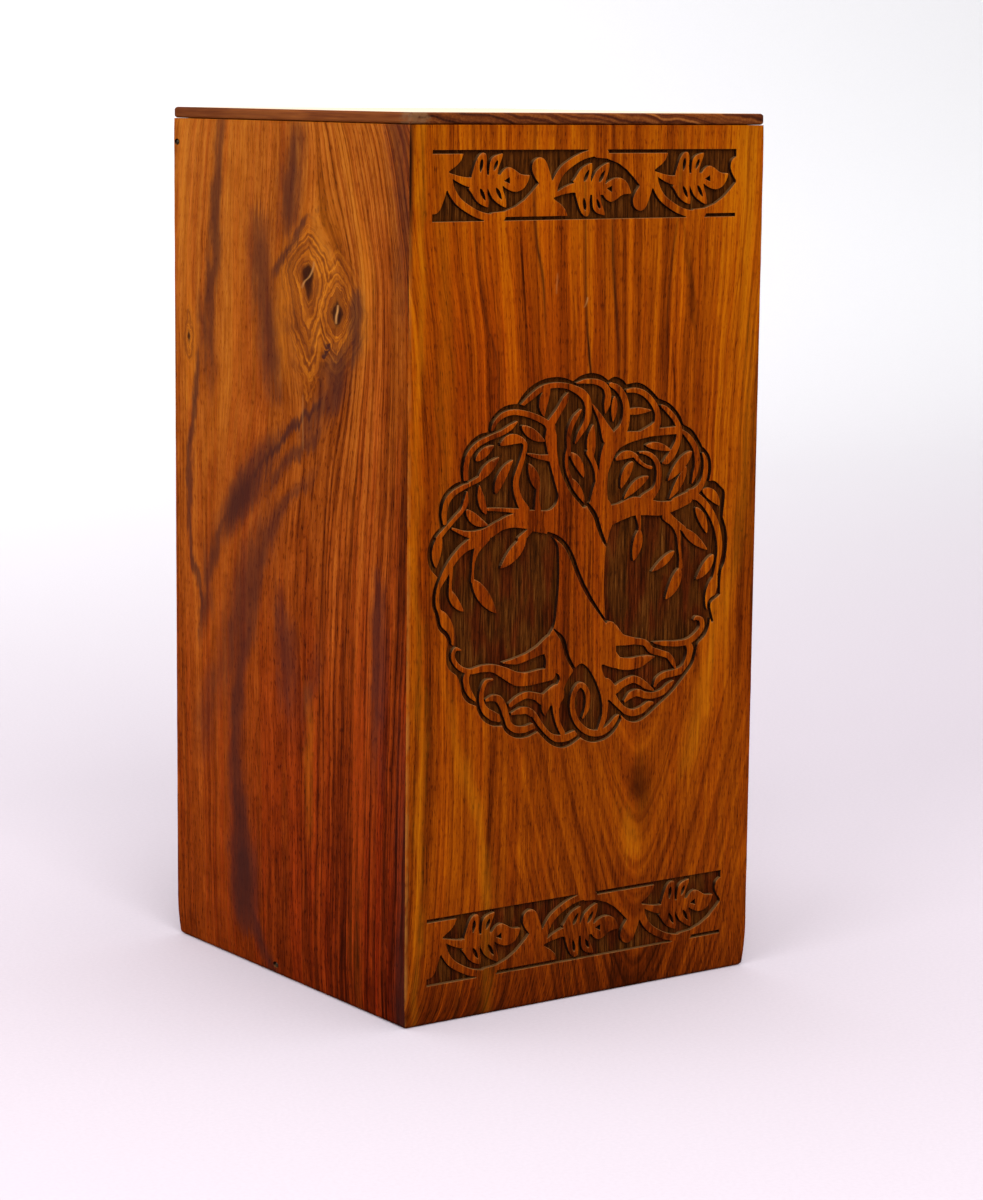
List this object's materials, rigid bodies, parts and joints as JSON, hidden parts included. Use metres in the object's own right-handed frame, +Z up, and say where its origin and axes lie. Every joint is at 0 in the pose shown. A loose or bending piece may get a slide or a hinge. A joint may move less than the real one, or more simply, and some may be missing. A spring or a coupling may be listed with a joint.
{
  "type": "carved wooden box",
  "caption": "Tall square wooden keepsake box with a lift-off flat lid, mitred walls and an engraved tree-of-life roundel between leaf-scroll bands.",
  "frame": {"origin": "middle of the underside, which the box stands on", "axes": "+Z up, the carved face towards -Y, the viewer's left in front of that face towards -X"},
  "size_m": [0.124, 0.126, 0.254],
  "materials": {
    "front_wood": "satin lacquer over rosewood",
    "side_wood": "satin lacquer over rosewood",
    "lid_wood": "satin lacquer over rosewood",
    "floor_wood": "plain sanded",
    "brad_steel": "dull, a little tarnished"
  },
  "bodies": {
    "root": {"front_board": "front_wood", "left_board": "side_wood", "right_board": "side_wood", "back_board": "side_wood", "lid": "lid_wood", "floor_board": "floor_wood", "brad_mitre_left": "brad_steel", "brad_mitre_right": "brad_steel", "brad_floor_left": "brad_steel", "brad_floor_right": "brad_steel"}
  },
  "joints": []
}
